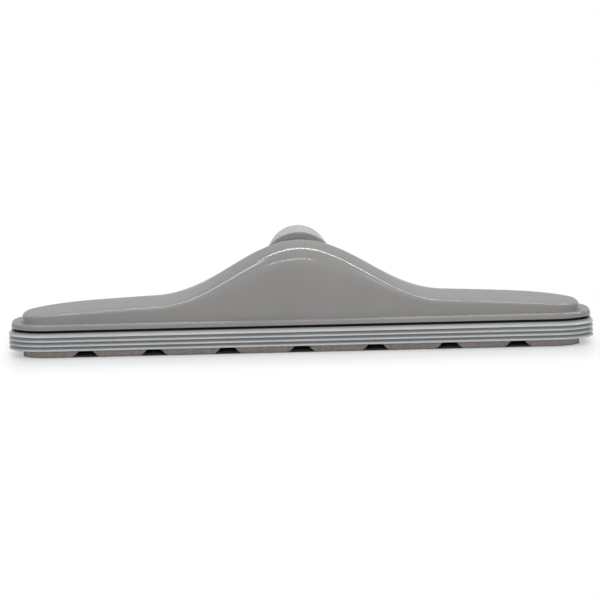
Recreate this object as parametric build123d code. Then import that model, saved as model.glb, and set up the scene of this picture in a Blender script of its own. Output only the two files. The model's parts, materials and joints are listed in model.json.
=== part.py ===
from build123d import *
import os
from math import atan2, cos, pi, radians, sin, sqrt, tan

# Vacuum floor brush head, in millimetres.
# X runs along the head, the front is at -Y and the floor is Z = 0.
# The head is drawn about its own middle and moved to the part's frame at the end.

# Head outline and heights
head_length = 353.0
head_depth = 81.0
front_corner_r = 22.0
rear_corner_r = 48.0
flange_z = 17.0
flange_thickness = 3.4
flange_edge_r = 1.6
ledge_width = 6.4
shell_wall = 2.5

# Dome on the flange: wings that droop to the ends and a bell-shaped hump
wing_root_z = 32.4
wing_tip_z = 26.4
end_wall_z = 22.5
end_round = 5.0
hump_rise = 32.4
hump_half_width = 87.5
wall_lean = 14.0
crown_share = 0.17
wall_round = 0.5
wing_round = 0.18
hump_round = 0.45
bell_steps = 6
wing_steps = 3
corner_steps = 9

# Bumper
bumper_overhang = 1.5
bumper_thickness = 3.2
bumper_bottom_z = 4.45
bumper_top_z = 15.75
rib_count = 4
rib_depth = 1.2
rib_lip = 0.6
tongue_z = 10.6
tongue_height = 1.6
tongue_depth = 1.2

# Base plate
base_bottom_z = 5.0
panel_thickness = 2.5
shadow_inset = 3.3
lip_height = 1.0
lip_wall = 2.0
lip_clearance = 0.3
slot_end_gap = 11.5
slot_width = 14.0
slot_y = -4.0

# Brush ring: frame and bristles
brush_end_inset = 5.8
brush_side_inset = 3.3
brush_front_r = 16.0
brush_rear_r = 42.0
rear_row_depth = 16.0
bristle_thickness = 6.0
bristle_root = 4.0
frame_margin = 1.4
frame_height = 5.0
frame_inner_flange = 6.5
frame_clearance = 0.2
row_gap = 0.3
notch_pitch = 45.0
end_pad_length = 37.4
notch_top_width = 7.0
notch_flank = 47.0
notch_top_z = 4.8

# Neck barrel, stub tube and tilt
pivot_y = 14.0
pivot_z = 38.5
rest_angle = 4.5
tilt_range = 60.0
barrel_r = 19.0
barrel_wall = 2.5
barrel_half_length = 22.0
tube_r = 18.0
tube_wall = 3.0
tube_end = 52.0
shoulder_rise = 3.0
shoulder_start = 31.0
shoulder_width = 2.0
window_angle = 153.0
window_half_angle = 25.0
window_width = 36.0
travel_clearance = 0.8
sill_clearance = 0.4

# Trunnions, bushes and the well that holds the barrel
trunnion_r = 7.0
trunnion_length = 6.3
running_clearance = 0.05
bush_wall = 3.0
bush_flange_r = 12.0
bush_flange = 1.5
bush_body = 4.75
side_float = 0.25
cheek = 2.5
seat_clearance = 0.02
post_clearance = 0.1
well_clearance = 0.6
well_front_wall = 5.0

# Felt seals
seal_clearance = 0.2
front_seal_height = 6.0
front_seal_depth = 3.4
rear_seal_depth = 4.0
rear_seal_offset = 6.0
weir_drop = 3.5

# Swivel cuff
cuff_start = 34.3
cuff_length = 52.0
cuff_near_wall = 5.5
cuff_far_wall = 2.0
cuff_near_edge_r = 0.6
cuff_far_edge_r = 0.6
socket_r = 16.0
socket_length = 34.0
ring_start = 45.5
ring_width = 2.0
ring_groove_depth = 1.1
ring_stand = 0.8
ring_clearance = 0.4
cuff_seal_width = 1.0
cuff_seal_rise = 2.6

# Screws
inner_screw_x = 55.0
screw_end_gap = 11.5
screw_side_gap = 6.5
screw_r = 1.9
screw_head_r = 3.6
screw_head_height = 2.5
screw_tip_z = 22.5
screw_sink = 0.5
boss_r = 4.0
screw_clearance = 0.1
brush_screw_end_gap = 49.0
brush_screw_r = 1.4
brush_head_r = 2.6
brush_head_height = 1.8
brush_screw_tip = 2.2

# Values that follow from the ones above
half_length = head_length / 2 - ledge_width
half_depth = head_depth / 2 - ledge_width
dome_front_r = front_corner_r - ledge_width
dome_rear_r = rear_corner_r - ledge_width
front_mid_x = half_length - dome_front_r
front_mid_y = dome_front_r - half_depth
rear_mid_x = half_length - dome_rear_r
rear_mid_y = half_depth - dome_rear_r
ledge_z = flange_z + flange_thickness
wing_droop = (wing_root_z - wing_tip_z) / front_mid_x**2
lean = tan(radians(wall_lean))

bumper_depth = head_depth + 2 * bumper_overhang
base_offset = bumper_overhang - bumper_thickness
base_length = head_length + 2 * base_offset
base_depth = head_depth + 2 * base_offset
lip_offset = -ledge_width - shell_wall - lip_clearance
panel_z = base_bottom_z + panel_thickness
groove_top_z = base_bottom_z + frame_height
deck_z = groove_top_z + panel_thickness

brush_length = base_length - 2 * brush_end_inset
brush_depth = base_depth - 2 * brush_side_inset
frame_inner_inset = bristle_thickness + frame_inner_flange
island_half_length = brush_length / 2 - frame_inner_inset
island_half_depth = brush_depth / 2 - frame_inner_inset
slot_length = 2 * (island_half_length - slot_end_gap)
notch_end_x = brush_length / 2 - end_pad_length
front_screw_x = island_half_length - screw_end_gap
rear_screw_x = brush_length / 2 - brush_rear_r
screw_y = island_half_depth - screw_side_gap
brush_screw_x = brush_length / 2 - brush_screw_end_gap
brush_screw_y = island_half_depth + frame_inner_flange / 2

bush_r = trunnion_r + running_clearance + bush_wall
bush_start = barrel_half_length + side_float
cheek_x = bush_start + bush_flange + side_float
well_r = barrel_r + well_clearance
well_front_y = pivot_y - well_r - well_front_wall

weir_top_z = pivot_z - barrel_r - weir_drop

tube_bore_r = tube_r - tube_wall
shoulder_r = tube_r + shoulder_rise
ring_inner_r = tube_r - ring_groove_depth
ring_outer_r = tube_r + ring_stand
cuff_seal_outer_r = tube_r + cuff_seal_rise
cuff_end = cuff_start + cuff_length
cuff_near_r = tube_r + cuff_near_wall
cuff_far_r = socket_r + cuff_far_wall

# The part's origin is under the middle of its box, cuff included
back_y = pivot_y + cuff_end * cos(radians(rest_angle)) + cuff_far_r * sin(radians(rest_angle))
origin_y = (back_y - bumper_depth / 2) / 2
to_part_frame = Pos(0, -origin_y, 0)

# Local Z of this place is the tube's axis at rest, from the tilt axis outward
pivot = Pos(0, pivot_y, pivot_z)
tube_place = pivot * Rot(rest_angle - 90, 0, 0)


def rounded_plan(length, depth, front_r, rear_r):
    """Rectangle with one corner radius in front and another behind."""
    plan = Rectangle(length, depth)
    plan = fillet(plan.vertices().group_by(Axis.Y)[0], front_r)
    return fillet(plan.vertices().group_by(Axis.Y)[-1], rear_r)


def head_plan(offset, z):
    """The head's outline at a height, moved outward by an offset."""
    length = head_length + 2 * offset
    depth = head_depth + 2 * offset
    return Pos(0, 0, z) * rounded_plan(length, depth, front_corner_r + offset, rear_corner_r + offset)


def head_slab(offset, low_z, high_z, taper=0):
    """Upright block with the head's outline, moved outward by an offset."""
    return extrude(head_plan(offset, low_z), amount=high_z - low_z, taper=taper)


def brush_slab(inset, low_z, high_z):
    """Upright block with the brush's outline, drawn in by an inset."""
    length = brush_length - 2 * inset
    depth = brush_depth - 2 * inset
    plan = rounded_plan(length, depth, brush_front_r - inset, brush_rear_r - inset)
    return extrude(Pos(0, 0, low_z) * plan, amount=high_z - low_z)


def upright(x, y, radius, low_z, high_z):
    """Vertical cylinder between two heights."""
    return Pos(x, y, (low_z + high_z) / 2) * Cylinder(radius, high_z - low_z)


def cross_cylinder(radius, low_x, high_x):
    """Cylinder on the tilt axis between two places along X."""
    middle = pivot * Pos((low_x + high_x) / 2, 0, 0)
    return middle * Rot(0, 90, 0) * Cylinder(radius, abs(high_x - low_x))


def tube_rod(radius, start, end):
    """Cylinder on the tube's axis between two distances from the tilt axis."""
    return tube_place * Pos(0, 0, (start + end) / 2) * Cylinder(radius, end - start)


def tube_ring(inner_r, outer_r, start, end):
    """Ring on the tube's axis."""
    return tube_rod(outer_r, start, end) - tube_rod(inner_r, start, end)


def bell(x):
    """Share of the hump's rise at a place along the head."""
    if abs(x) >= hump_half_width:
        return 0.0
    return cos(pi * x / (2 * hump_half_width)) ** 2


def arc_reach(run, radius):
    """Reach of a rounded corner at a run past the corner's middle."""
    return sqrt(max(0.0, radius**2 - max(0.0, run) ** 2))


def dome_section(x, inset, foot_z):
    """Upright section of the dome: leaning walls, rounded shoulders and a crown."""
    front_y = front_mid_y - arc_reach(abs(x) - front_mid_x, dome_front_r - inset)
    rear_y = rear_mid_y + arc_reach(abs(x) - rear_mid_x, dome_rear_r - inset)
    cap_r = end_round - inset
    cap = arc_reach(abs(x) - half_length + end_round, cap_r) / cap_r
    crest = wing_root_z - wing_droop * x**2 + hump_rise * bell(x)
    top = end_wall_z + (crest - end_wall_z) * cap - inset
    corner_z = top - crown_share * (top - foot_z)
    wall_z = corner_z - wall_round * (corner_z - foot_z)
    reach = wing_round + (hump_round - wing_round) * bell(x)
    peak = (x, (front_y + rear_y) / 2, (2 * top - corner_z * (1 - reach)) / (1 + reach))
    feet = []
    crown_ends = []
    sides = []
    for edge_y, inward in ((front_y, lean), (rear_y, -lean)):
        foot = (x, edge_y + (foot_z - ledge_z) * inward, foot_z)
        wall = (x, edge_y + (wall_z - ledge_z) * inward, wall_z)
        corner = (x, edge_y + (corner_z - ledge_z) * inward, corner_z)
        crown_end = tuple(a + reach * (b - a) for a, b in zip(corner, peak))
        sides.append(Edge.make_line(foot, wall))
        sides.append(Edge.make_bezier(wall, corner, crown_end))
        feet.append(foot)
        crown_ends.append(crown_end)
    crown = Edge.make_bezier(crown_ends[0], peak, crown_ends[1])
    return Face(Wire([*sides, crown, Edge.make_line(*feet)]))


def dome(inset, foot_z):
    """Lofts of the sections: the long middle and the two rounded ends."""
    half = [hump_half_width * step / bell_steps for step in range(1, bell_steps + 1)]
    wing = rear_mid_x - hump_half_width
    half += [hump_half_width + wing * step / wing_steps for step in range(1, wing_steps + 1)]
    middle = [-x for x in reversed(half)] + [0.0] + half
    body = loft([dome_section(x, inset, foot_z) for x in middle])
    corner_r = dome_rear_r - inset
    quarter = pi / 2 / corner_steps
    turn = [rear_mid_x + corner_r * sin(quarter * step) for step in range(corner_steps + 1)]
    for side in (-1, 1):
        body += loft([dome_section(side * x, inset, foot_z) for x in turn])
    return body


def screw_places():
    """Places of the screws that hold the base to the shell."""
    places = []
    for side in (-1, 1):
        places += [(side * inner_screw_x, -screw_y), (side * front_screw_x, -screw_y)]
        places += [(side * inner_screw_x, screw_y), (side * rear_screw_x, screw_y)]
    return places


def brush_screw_places():
    """Places of the screws that hold the brush frame."""
    return [(x, end * brush_screw_y) for x in (-brush_screw_x, 0.0, brush_screw_x) for end in (-1, 1)]


def travel_space():
    """Space behind the hood's lip that the tube sweeps as it tilts."""
    reach = head_depth
    block = Box(2 * cheek_x, reach, reach)
    below = tube_r + sill_clearance
    front = tube_r + travel_clearance
    at_rest = pivot * Rot(rest_angle, 0, 0) * Pos(0, reach / 2, reach / 2 - below) * block
    raised = pivot * Rot(rest_angle + tilt_range, 0, 0) * Pos(0, reach / 2, front - reach / 2) * block
    above_ledge = Pos(0, 0, ledge_z + reach / 2) * Box(head_length, 2 * reach, reach)
    return (at_rest + raised) & above_ledge


def front_seal_block(clearance):
    """Felt strip in the well's front wall, or its pocket with a clearance."""
    face_y = pivot_y - barrel_r - seal_clearance
    depth = front_seal_depth + 2 * clearance
    height = front_seal_height + 2 * clearance
    width = 2 * (barrel_half_length + clearance)
    return Pos(0, face_y - front_seal_depth / 2, pivot_z) * Box(width, depth, height)


def make_top_shell():
    """Moulded shell: flange, hollow dome, neck well and screw bosses."""
    outer = dome(0.0, ledge_z)
    flange = head_slab(0.0, flange_z, ledge_z)
    flange = fillet(flange.edges().group_by(Axis.Z)[-1], flange_edge_r)
    envelope = outer + flange
    shell = envelope - dome(shell_wall, flange_z)

    tall = 2 * pivot_z
    well_back_y = half_depth
    well_depth = well_back_y - well_front_y
    well_y = (well_back_y + well_front_y) / 2
    well = Pos(0, well_y, flange_z + tall / 2) * Box(2 * (cheek_x + cheek), well_depth, tall)
    inside_y = (pivot_y + well_back_y) / 2
    inside = Pos(0, inside_y, flange_z) * Box(2 * cheek_x, well_back_y - pivot_y, tall)
    mouth_rise = pivot_z - front_seal_height / 2 - shell_wall - flange_z
    mouth = Pos(0, well_y, flange_z) * Box(2 * cheek_x, well_depth, 2 * mouth_rise)
    shell += (well & envelope) - mouth - inside
    bosses = [upright(x, y, boss_r, flange_z, tall) for x, y in screw_places()]
    for boss in bosses:
        shell += boss & envelope

    shell -= cross_cylinder(well_r, -cheek_x, cheek_x)
    shell -= travel_space()
    shell -= front_seal_block(seat_clearance)
    for side in (-1, 1):
        seat = cross_cylinder(bush_r + seat_clearance, side * cheek_x, side * (cheek_x + cheek))
        notch_height = pivot_z - flange_z
        notch_x = side * (cheek_x + cheek / 2)
        notch_width = 2 * (bush_r + seat_clearance)
        notch = Box(cheek, notch_width, notch_height)
        shell -= seat + Pos(notch_x, pivot_y, flange_z + notch_height / 2) * notch
    for x, y in screw_places():
        shell -= upright(x, y, screw_r + screw_clearance, flange_z, screw_tip_z + screw_sink)
    return shell


def make_bumper():
    """Vinyl strip with overlapping ribs and a tongue that grips the base."""
    pitch = (bumper_top_z - bumper_bottom_z) / rib_count
    rise = pitch - rib_lip
    slope = 90 - 180 / pi * atan2(rise, rib_depth)
    under = 90 - 180 / pi * atan2(rib_lip, rib_depth)
    strip = None
    for rib in range(rib_count):
        lip_z = bumper_bottom_z + rib * pitch + rib_lip
        face = head_slab(bumper_overhang, lip_z, lip_z + rise, slope)
        lip = extrude(head_plan(bumper_overhang, lip_z), amount=-rib_lip, taper=under)
        strip = face + lip if strip is None else strip + face + lip
    strip -= head_slab(base_offset, bumper_bottom_z, bumper_top_z)
    return strip + tongue(0.0)


def tongue(clearance):
    """Inner rib of the bumper, or the groove for it with a clearance."""
    low_z = tongue_z - clearance
    high_z = tongue_z + tongue_height + clearance
    inner_offset = base_offset - tongue_depth - clearance
    return head_slab(base_offset, low_z, high_z) - head_slab(inner_offset, low_z, high_z)


def frame_ring(clearance, low_z, high_z):
    """Plan ring of the brush frame, or the groove for it with a clearance."""
    outer = brush_slab(-frame_margin - clearance, low_z, high_z)
    return outer - brush_slab(frame_inner_inset + clearance, low_z, high_z)


def bristle_ring(low_z, high_z):
    """Plan ring of the bristles."""
    return brush_slab(0.0, low_z, high_z) - brush_slab(bristle_thickness, low_z, high_z)


def make_base_plate():
    """Base: walls, deck over the brush groove, suction slot, posts and weir."""
    base = head_slab(base_offset, base_bottom_z, bumper_top_z)
    base += head_slab(base_offset - shadow_inset, bumper_top_z, flange_z)
    lip_top_z = flange_z + lip_height
    base += head_slab(lip_offset, flange_z, lip_top_z)
    base -= head_slab(lip_offset - lip_wall, deck_z, lip_top_z)
    lip_gap = Box(2 * (cheek_x + cheek + lip_clearance), base_depth / 2, 2 * lip_height)
    base -= Pos(0, base_depth / 4, flange_z + lip_height) * lip_gap
    well_inset = frame_inner_inset + frame_clearance + panel_thickness
    base -= brush_slab(well_inset, panel_z, deck_z)
    base -= frame_ring(frame_clearance, base_bottom_z, groove_top_z)
    base -= tongue(seat_clearance)

    for x, y in screw_places():
        base += upright(x, y, boss_r, panel_z, flange_z)
    for side in (-1, 1):
        post_x = side * (cheek_x + cheek / 2)
        post_width = 2 * (bush_r - post_clearance)
        post_height = pivot_z - base_bottom_z
        post = Box(cheek, post_width, post_height)
        post = Pos(post_x, pivot_y, base_bottom_z + post_height / 2) * post
        base += post - cross_cylinder(bush_r + seat_clearance, side * cheek_x, side * (cheek_x + cheek))
    weir_height = weir_top_z - base_bottom_z
    weir_y = pivot_y + rear_seal_offset
    weir = Box(2 * cheek_x, rear_seal_depth, weir_height)
    base += Pos(0, weir_y, base_bottom_z + weir_height / 2) * weir

    slot = extrude(SlotOverall(slot_length, slot_width), amount=panel_thickness)
    base -= Pos(0, slot_y, base_bottom_z) * slot
    base -= frame_ring(frame_clearance, base_bottom_z, groove_top_z)
    for x, y in screw_places():
        base -= upright(x, y, screw_r + screw_clearance, base_bottom_z, flange_z)
        head_top_z = base_bottom_z + screw_sink + screw_head_height
        base -= upright(x, y, screw_head_r + screw_clearance, base_bottom_z, head_top_z)
    for x, y in brush_screw_places():
        base -= upright(x, y, brush_screw_r + screw_clearance, groove_top_z, deck_z)
    return base


def make_brush_frame():
    """Ring-shaped insert with a channel for the bristles and holes for its screws."""
    frame = frame_ring(0.0, base_bottom_z, groove_top_z)
    frame -= bristle_ring(base_bottom_z, base_bottom_z + bristle_root)
    head_top_z = base_bottom_z + brush_head_height
    for x, y in brush_screw_places():
        frame -= upright(x, y, brush_screw_r + screw_clearance, base_bottom_z, groove_top_z)
        frame -= upright(x, y, brush_head_r + screw_clearance, base_bottom_z, head_top_z)
    return frame


def notch_places():
    """Middles of the notches along a long bristle row."""
    inner = [notch_pitch * step for step in range(-2, 3)]
    return [-notch_end_x] + inner + [notch_end_x]


def make_bristles():
    """Bristle ring cut into two notched long rows and two end rows."""
    ring = bristle_ring(0, base_bottom_z + bristle_root)
    spread = notch_top_z / tan(radians(notch_flank))
    half_top = notch_top_width / 2
    half_mouth = half_top + spread
    top_corners = (half_top, notch_top_z), (-half_top, notch_top_z)
    profile = Polyline((-half_mouth, 0), (half_mouth, 0), *top_corners, close=True)
    notch = extrude(Plane.XZ * make_face(profile), amount=brush_depth / 2, both=True)
    front_split = brush_front_r - brush_depth / 2
    rear_split = brush_depth / 2 - rear_row_depth
    end_row_depth = rear_split - front_split
    tall = 2 * (base_bottom_z + bristle_root)
    between = Pos(0, (front_split + rear_split) / 2, 0)
    long_rows = ring - between * Box(brush_length, end_row_depth + row_gap, tall)
    for x in notch_places():
        long_rows -= Pos(x, 0, 0) * notch
    end_rows = ring & (between * Box(brush_length, end_row_depth - row_gap, tall))
    front, rear = long_rows.solids().sort_by(Axis.Y)
    left, right = end_rows.solids().sort_by(Axis.X)
    return {
        "front_bristles": front,
        "rear_bristles": rear,
        "left_end_bristles": left,
        "right_end_bristles": right,
    }


def make_neck_elbow():
    """Hollow barrel on two trunnions, with the stub tube and its shoulder."""
    neck = cross_cylinder(barrel_r, -barrel_half_length, barrel_half_length)
    neck += tube_rod(tube_r, 0.0, tube_end)
    neck += tube_rod(shoulder_r, shoulder_start, shoulder_start + shoulder_width)
    for side in (-1, 1):
        tip = barrel_half_length + trunnion_length
        neck += cross_cylinder(trunnion_r, side * barrel_half_length, side * tip)
    inner = barrel_half_length - barrel_wall
    neck -= cross_cylinder(barrel_r - barrel_wall, -inner, inner)
    neck -= tube_rod(tube_bore_r, 0.0, tube_end)
    mouth = 2 * barrel_r * tan(radians(window_half_angle))
    window = Polyline((0, 0), (barrel_r, -mouth / 2), (barrel_r, mouth / 2), close=True)
    sector = extrude(Plane.YZ * make_face(window), amount=window_width / 2, both=True)
    neck -= pivot * Rot(-window_angle, 0, 0) * sector
    neck -= tube_ring(ring_inner_r, tube_r, ring_start, ring_start + ring_width)
    return neck


def make_bush(side):
    """Flanged bush for one trunnion."""
    flange_end = bush_start + bush_flange
    body_end = flange_end + bush_body
    bush = cross_cylinder(bush_flange_r, side * bush_start, side * flange_end)
    bush += cross_cylinder(bush_r, side * flange_end, side * body_end)
    return bush - cross_cylinder(trunnion_r + running_clearance, side * bush_start, side * body_end)


def make_rear_seal():
    """Felt strip on the weir, hollowed to follow the barrel."""
    height = pivot_z - weir_top_z
    strip = Pos(0, pivot_y + rear_seal_offset, weir_top_z + height / 2)
    strip = strip * Box(2 * barrel_half_length, rear_seal_depth, height)
    reach = barrel_half_length + side_float
    strip -= cross_cylinder(barrel_r + seal_clearance, -reach, reach)
    return strip - tube_rod(tube_r + seal_clearance, 0.0, shoulder_start)


def make_swivel_cuff():
    """Tapered cuff: bearing on the stub tube, ring recess and wand socket."""
    bore_r = tube_r + running_clearance
    socket_start = cuff_end - socket_length
    recess_r = ring_outer_r + ring_clearance
    recess_start = ring_start - ring_clearance
    recess_end = ring_start + ring_width + ring_clearance
    profile = Polyline(
        (bore_r, cuff_start), (cuff_near_r, cuff_start), (cuff_far_r, cuff_end),
        (socket_r, cuff_end), (socket_r, socket_start), (bore_r, socket_start), close=True,
    )
    section = make_face(profile)
    near = section.vertices().sort_by_distance((cuff_near_r, cuff_start))[0]
    section = fillet(near, cuff_near_edge_r)
    far = section.vertices().sort_by_distance((cuff_far_r, cuff_end))[0]
    section = fillet(far, cuff_far_edge_r)
    cuff = revolve(Plane.XZ * section, Axis.Z)
    return tube_place * cuff - tube_rod(recess_r, recess_start, recess_end)


def make_base_screws():
    """Pan-head screws from the base into the shell's bosses."""
    low_z = base_bottom_z + screw_sink
    head_top_z = low_z + screw_head_height
    screws = Part()
    for x, y in screw_places():
        screws += upright(x, y, screw_head_r, low_z, head_top_z)
        screws += upright(x, y, screw_r, head_top_z, screw_tip_z)
    return screws


def make_brush_screws():
    """Short screws through the brush frame into the base's deck."""
    head_top_z = base_bottom_z + brush_head_height
    tip_z = groove_top_z + brush_screw_tip
    screws = Part()
    for x, y in brush_screw_places():
        screws += upright(x, y, brush_head_r, base_bottom_z, head_top_z)
        screws += upright(x, y, brush_screw_r, head_top_z, tip_z)
    return screws


nodes = {
    "top_shell": make_top_shell(),
    "base_plate": make_base_plate(),
    "bumper": make_bumper(),
    "brush_frame": make_brush_frame(),
    "neck_elbow": make_neck_elbow(),
    "left_neck_bush": make_bush(-1),
    "right_neck_bush": make_bush(1),
    "front_neck_seal": front_seal_block(0.0),
    "rear_neck_seal": make_rear_seal(),
    "swivel_cuff": make_swivel_cuff(),
    "cuff_retaining_ring": tube_ring(ring_inner_r, ring_outer_r, ring_start, ring_start + ring_width),
    "cuff_seal": tube_ring(
        tube_r + seat_clearance, cuff_seal_outer_r,
        shoulder_start + shoulder_width, shoulder_start + shoulder_width + cuff_seal_width,
    ),
    "base_screws": make_base_screws(),
    "brush_screws": make_brush_screws(),
}
nodes.update(make_bristles())

os.makedirs("parts", exist_ok=True)
for name, shape in nodes.items():
    export_step(to_part_frame * shape, f"parts/{name}.step")
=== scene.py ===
import json
import math
import random

import bmesh
import bpy
from mathutils import Matrix, Vector


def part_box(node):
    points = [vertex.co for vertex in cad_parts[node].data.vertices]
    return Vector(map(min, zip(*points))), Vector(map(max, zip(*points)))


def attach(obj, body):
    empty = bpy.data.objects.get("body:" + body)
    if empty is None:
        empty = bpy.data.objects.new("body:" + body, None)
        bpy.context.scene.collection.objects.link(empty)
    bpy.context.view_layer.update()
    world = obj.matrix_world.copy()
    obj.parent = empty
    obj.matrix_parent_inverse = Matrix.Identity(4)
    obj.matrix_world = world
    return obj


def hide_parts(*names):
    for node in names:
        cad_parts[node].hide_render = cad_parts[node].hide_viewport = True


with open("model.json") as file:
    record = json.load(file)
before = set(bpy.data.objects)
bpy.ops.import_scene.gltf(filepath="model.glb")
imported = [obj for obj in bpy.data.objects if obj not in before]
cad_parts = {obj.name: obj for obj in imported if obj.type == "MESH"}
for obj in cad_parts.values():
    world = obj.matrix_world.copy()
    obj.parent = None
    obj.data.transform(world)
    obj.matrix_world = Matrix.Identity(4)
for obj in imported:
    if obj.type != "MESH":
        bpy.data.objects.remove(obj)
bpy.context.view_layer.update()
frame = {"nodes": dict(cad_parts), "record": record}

# Places read from the frame, in metres
MM = 0.001
bumper_low, bumper_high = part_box("bumper")
shell_low, shell_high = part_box("top_shell")
head_mid = (bumper_low + bumper_high) / 2
bumper_front = Vector((head_mid.x, bumper_low.y, head_mid.z))
joints = {joint["name"]: joint for joint in frame["record"]["behaviour"]["joints"]}
pivot_at = Vector(joints["neck_tilt"]["pos_m"])
tube_axis = Vector(joints["cuff_swivel"]["axis"])

# The photograph's frame and the bumper's place in it, in pixels; the camera in metres and degrees
IMAGE_SIZE = 600
BUMPER_MID_PX = (301.6, 336.6)
BUMPER_WIDTH_PX = 583.0
CAMERA_DISTANCE = 10.0
CAMERA_AZIMUTH = -0.5
CAMERA_ELEVATION = 6.5
CAMERA_ROLL = 1.3
SENSOR_MM = 36.0

# Floor: its size, fade and dark rim round the brush in metres, how much faster it fades past the ends,
# its grey, and its least share of white outside the brush
FLOOR_SIZE = 60.0
FLOOR_FADE = 0.1
FLOOR_RIM = 0.0005
FLOOR_END_FADE = 6.0
FLOOR_GREY = 0.5
FLOOR_WHITE = 0.45

# Level of the surroundings, and the colour of the window's light
WORLD_LEVEL = 0.4
DAYLIGHT = (0.7, 0.86, 1.0)

# Shell, in millimetres from the head's middle and from the floor
HEAD_LENGTH = (shell_high.x - shell_low.x) / MM
HEAD_DEPTH = (shell_high.y - shell_low.y) / MM
FLANGE_Z = shell_low.z / MM
FLANGE_THICKNESS = 3.4
FLANGE_EDGE_R = 2.2
FLANGE_LOWER_R = 0.3
LEDGE_WIDTH = 6.4
SHELL_WALL = 2.5
FRONT_CORNER_R = 22.0
REAR_CORNER_R = 48.0
WING_ROOT_Z = 32.4
WING_TIP_Z = 26.4
END_WALL_Z = 22.5
END_ROUND = 5.0
HUMP_RISE = shell_high.z / MM - WING_ROOT_Z
HUMP_HALF_WIDTH = 87.5
WALL_LEAN = math.tan(math.radians(14.0))
WING_CROWN, HUMP_CROWN = 0.08, 0.17
WING_WALL_ROUND, HUMP_WALL_ROUND = 0.3, 0.5
WING_ROUND, HUMP_ROUND = 0.18, 0.45
HALF_LENGTH = HEAD_LENGTH / 2 - LEDGE_WIDTH
HALF_DEPTH = HEAD_DEPTH / 2 - LEDGE_WIDTH
DOME_FRONT_R = FRONT_CORNER_R - LEDGE_WIDTH
DOME_REAR_R = REAR_CORNER_R - LEDGE_WIDTH
FRONT_MID = (HALF_LENGTH - DOME_FRONT_R, DOME_FRONT_R - HALF_DEPTH)
REAR_MID = (HALF_LENGTH - DOME_REAR_R, HALF_DEPTH - DOME_REAR_R)
LEDGE_Z = FLANGE_Z + FLANGE_THICKNESS
WING_DROOP = (WING_ROOT_Z - WING_TIP_Z) / FRONT_MID[0] ** 2

# How finely the surfaces are drawn, and the least run that a rise is divided by
LONG_STEPS = 70
TURN_STEPS = 30
WALL_STEPS = 4
ROUND_STEPS = 14
CROWN_STEPS = 32
EDGE_STEPS = 6
CIRCLE_STEPS = 64
WELL_STEPS = 24
HOOD_STEPS = 48
BARREL_STEPS = 96
SCREW_STEPS = 32
BUMPER_TURN_STEPS = 32
RING_TURN_STEPS = 24
FIBRE_SIDES = 4
LEAST_RUN = 1e-9

# Well for the neck's barrel, and how far a cut reaches past a surface
PIVOT_Y = (pivot_at.y - head_mid.y) / MM
PIVOT_Z = pivot_at.z / MM
REST_ANGLE = math.radians(4.5)
TILT_RANGE = math.radians(60.0)
WELL_R = 19.6
WELL_HALF_WIDTH = 24.0
CHEEK = 2.5
WELL_FRONT_WALL = 5.0
WELL_ROOF_Z = 33.0
SWEEP_BELOW = 18.4
SWEEP_FRONT = 18.8
BUSH_SEAT_R = 10.07
LIP_EDGE_R = 1.0
OVERCUT = 1.0

# Screws and bosses: places along X by Y, heads by radius, bottom and top, shanks by radius and tip
SCREW_X = {-16.5: (55.0, 145.0), 16.5: (55.0, 127.0)}
SCREW_HEAD = (3.6, 5.5, 8.0)
SCREW_SHANK = (1.9, 22.5)
BRUSH_SCREW_X = (-120.0, 0.0, 120.0)
BRUSH_SCREW_Y = 26.25
BRUSH_SCREW_HEAD = (2.6, 5.0, 6.8)
BRUSH_SCREW_SHANK = (1.4, 12.2)
BOSS_R = 4.0
BOSS_HOLE_R = 2.0
BOSS_HOLE_TOP_Z = 23.0

# Screw's rounded edge and cross recess, as shares; the recess's cut starts below the head, in millimetres
SCREW_EDGE = 0.3
RECESS_ARM = 0.62
RECESS_HALF_ARM = 0.16
RECESS_DEPTH = 0.6
RECESS_MOUTH, RECESS_BOTTOM = 1.2, 0.8
RECESS_START = 0.4

# Swivel cuff's skin, in metres, with the share of its near face that is fully painted in shade, and that
# painted grey's share of the shell's grey
CUFF_FROM_PIVOT = 0.0343
CUFF_START = pivot_at.dot(tube_axis) + CUFF_FROM_PIVOT
CUFF_FACE = 0.0009
CUFF_FACE_FULL = 0.6
CUFF_FACE_SHADE = 1.35
GRIP_PITCH = 0.0024
GRIP_RISE = 0.00006

# Bumper strip; its tongue by bottom, top and depth, and its crisp edges by angle
BUMPER_OVERHANG = 1.5
BUMPER_THICKNESS = 3.2
RIB_COUNT = 4
GAP_ROOM = 0.3
RIB_DEPTH = 1.7
RIB_STEPS = 8
LIP_R = 0.4
LIP_STEPS = 4
TONGUE = (10.6, 12.2, 1.2)
BUMPER_SHARP = 40.0

# Bristle ring, its notches and its fibres
BRUSH_HALF_LENGTH = (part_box("front_bristles")[1].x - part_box("front_bristles")[0].x) / 2 / MM
BRUSH_HALF_DEPTH = (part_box("rear_bristles")[1].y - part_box("front_bristles")[0].y) / 2 / MM
BRUSH_FRONT_R = 16.0
BRUSH_REAR_R = 42.0
REAR_ROW_DEPTH = 16.0
BRISTLE_THICKNESS = 6.0
BRISTLE_TOP_Z = 9.0
ROW_GAP = 0.3
NOTCH_PITCH = 45.0
NOTCHES_EACH_WAY = 2
END_PAD_LENGTH = 37.4
NOTCH_HALF_TOP = 3.5
NOTCH_TOP_Z = 4.8
NOTCH_FLANK = 5.2
NOTCH_CURVE = 1.5
FIBRE_PITCH = 0.6
FIBRE_LAYERS = 10
FIBRE_R = 0.36
FIBRE_LEAN = 0.18
FIBRE_SHORT = 0.25
FIBRE_TIP = 0.55
FIBRE_SHARP = 60.0
FIBRE_SEED = 7

# Noise texture's middle values, a plastic's range of roughness, and a Mix node's colour sockets
NOISE_LOW, NOISE_HIGH = 0.3, 0.7
ROUGH_LOW, ROUGH_HIGH = 0.85, 1.2
MIX_A, MIX_B, MIX_RESULT = 6, 7, 2


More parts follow.
